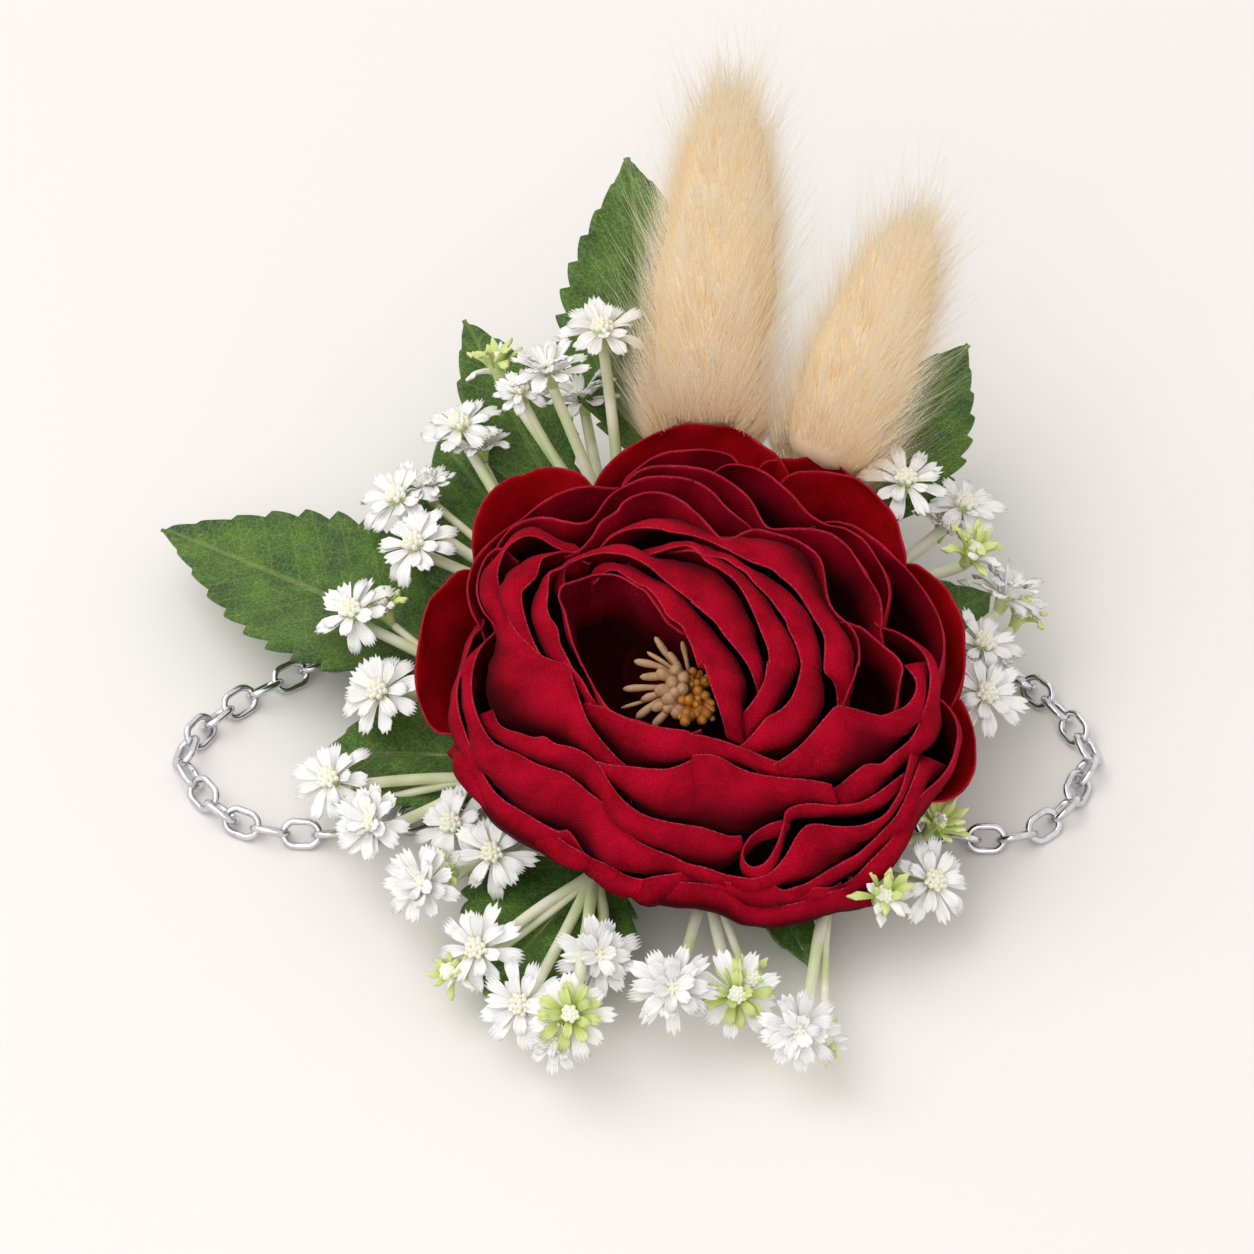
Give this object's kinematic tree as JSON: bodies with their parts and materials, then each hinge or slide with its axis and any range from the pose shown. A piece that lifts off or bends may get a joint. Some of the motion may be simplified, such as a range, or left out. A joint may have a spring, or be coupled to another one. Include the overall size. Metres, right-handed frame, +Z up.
{
  "type": "wrist corsage",
  "caption": "Wrist corsage: large layered cloth flower with leaves, gypsophila and bunny tails on a felt-backed plate, with a cable-chain bracelet and lobster clasp.",
  "frame": {"origin": "middle of the felt pad's flat underside, on the surface that the corsage lies on", "axes": "+Z up out of the flower side, -Y to the front, where the flower leans, +Y to the back, where the bunny tails point"},
  "size_m": [0.1046, 0.116, 0.0481],
  "materials": {
    "felt": "matte felt",
    "steel": "polished",
    "tape": "matte floral tape",
    "petal": "woven cloth, matte",
    "stamen": "satin",
    "leaf": "printed cloth, satin",
    "gypsophila": "satin",
    "dried_stem": "dry",
    "tail_fluff": "fluffy"
  },
  "bodies": {
    "root": {"felt_pad": "felt", "base_plate": "steel", "stem_knot": "tape", "flower_calyx": "tape", "petal_whorl_1": "petal", "petal_whorl_2": "petal", "petal_whorl_3": "petal", "petal_whorl_4": "petal", "petal_whorl_5": "petal", "petal_whorl_6": "petal", "stamen_cluster": "stamen", "leaf_left_large": "leaf", "leaf_left_back": "leaf", "leaf_back": "leaf", "leaf_right_back": "leaf", "leaf_right": "leaf", "leaf_left": "leaf", "leaf_front_left": "leaf", "leaf_front": "leaf", "spray_back_left": "gypsophila", "spray_left_back": "gypsophila", "spray_left": "gypsophila", "spray_left_front": "gypsophila", "spray_front_left": "gypsophila", "spray_front_low": "gypsophila", "spray_front": "gypsophila", "spray_front_right": "gypsophila", "spray_right_back": "gypsophila", "spray_right": "gypsophila", "tail_stem_left": "dried_stem", "tail_head_left": "tail_fluff", "tail_stem_right": "dried_stem", "tail_head_right": "tail_fluff"},
    "chain_left_1": {"chain_left_1": "steel"},
    "chain_left_2": {"chain_left_2": "steel"},
    "chain_left_3": {"chain_left_3": "steel"},
    "chain_left_4": {"chain_left_4": "steel"},
    "chain_left_5": {"chain_left_5": "steel"},
    "chain_left_6": {"chain_left_6": "steel"},
    "chain_right_1": {"chain_right_1": "steel"},
    "chain_right_2": {"chain_right_2": "steel"},
    "chain_right_3": {"chain_right_3": "steel"},
    "chain_right_4": {"chain_right_4": "steel"},
    "jump_ring": {"jump_ring": "steel"},
    "clasp": {"clasp_body": "steel", "clasp_pin": "steel"},
    "clasp_lever": {"clasp_lever": "steel"}
  },
  "joints": [
    {"name": "chain_left_1_hinge", "type": "hinge", "parent": "root", "child": "chain_left_1", "pos_m": [-0.0169, -0.00017, 0.00176], "axis": [0, 0, 1], "range_deg": [-30, 35]},
    {"name": "chain_left_2_hinge", "type": "hinge", "parent": "chain_left_1", "child": "chain_left_2", "pos_m": [-0.03523, -0.00733, 0.0014], "axis": [0, 0, -1], "range_deg": [-35, 12]},
    {"name": "chain_left_3_hinge", "type": "hinge", "parent": "chain_left_2", "child": "chain_left_3", "pos_m": [-0.05118, -0.00578, 0.0014], "axis": [0, 0, 1], "range_deg": [-6, 35]},
    {"name": "chain_left_4_hinge", "type": "hinge", "parent": "chain_left_3", "child": "chain_left_4", "pos_m": [-0.05385, 0.00835, 0.0014], "axis": [0, 0, -1], "range_deg": [-35, 6]},
    {"name": "chain_left_5_hinge", "type": "hinge", "parent": "chain_left_4", "child": "chain_left_5", "pos_m": [-0.04067, 0.01802, 0.0014], "axis": [0, 0, 1], "range_deg": [-10, 35]},
    {"name": "chain_left_6_hinge", "type": "hinge", "parent": "chain_left_5", "child": "chain_left_6", "pos_m": [-0.02218, 0.02499, 0.0014], "axis": [0, 0, -1], "range_deg": [-35, 20]},
    {"name": "jump_ring_hinge", "type": "hinge", "parent": "chain_left_6", "child": "jump_ring", "pos_m": [-0.00247, 0.02697, 0.00148], "axis": [0, 0, 1], "range_deg": [-35, 35]},
    {"name": "chain_right_1_hinge", "type": "hinge", "parent": "root", "child": "chain_right_1", "pos_m": [0.01683, -0.00036, 0.00176], "axis": [0, 0, -1], "range_deg": [-35, 35]},
    {"name": "chain_right_2_hinge", "type": "hinge", "parent": "chain_right_1", "child": "chain_right_2", "pos_m": [0.03071, -0.0088, 0.0014], "axis": [0, 0, 1], "range_deg": [-35, 20]},
    {"name": "chain_right_3_hinge", "type": "hinge", "parent": "chain_right_2", "child": "chain_right_3", "pos_m": [0.04267, -0.00001, 0.0014], "axis": [0, 0, -1], "range_deg": [-16, 35]},
    {"name": "chain_right_4_hinge", "type": "hinge", "parent": "chain_right_3", "child": "chain_right_4", "pos_m": [0.03706, 0.01425, 0.0014], "axis": [0, 0, 1], "range_deg": [-35, 35]},
    {"name": "clasp_hinge", "type": "hinge", "parent": "chain_right_4", "child": "clasp", "pos_m": [0.02603, 0.02104, 0.00148], "axis": [0, 0, 1], "range_deg": [-13, 25]},
    {"name": "clasp_lever_hinge", "type": "hinge", "parent": "clasp", "child": "clasp_lever", "pos_m": [0.02112, 0.02193, 0.00148], "axis": [0, 0, -1], "range_deg": [0, 18], "stiffness_Nm_per_rad": 0.002, "springref_deg": -17.19}
  ]
}
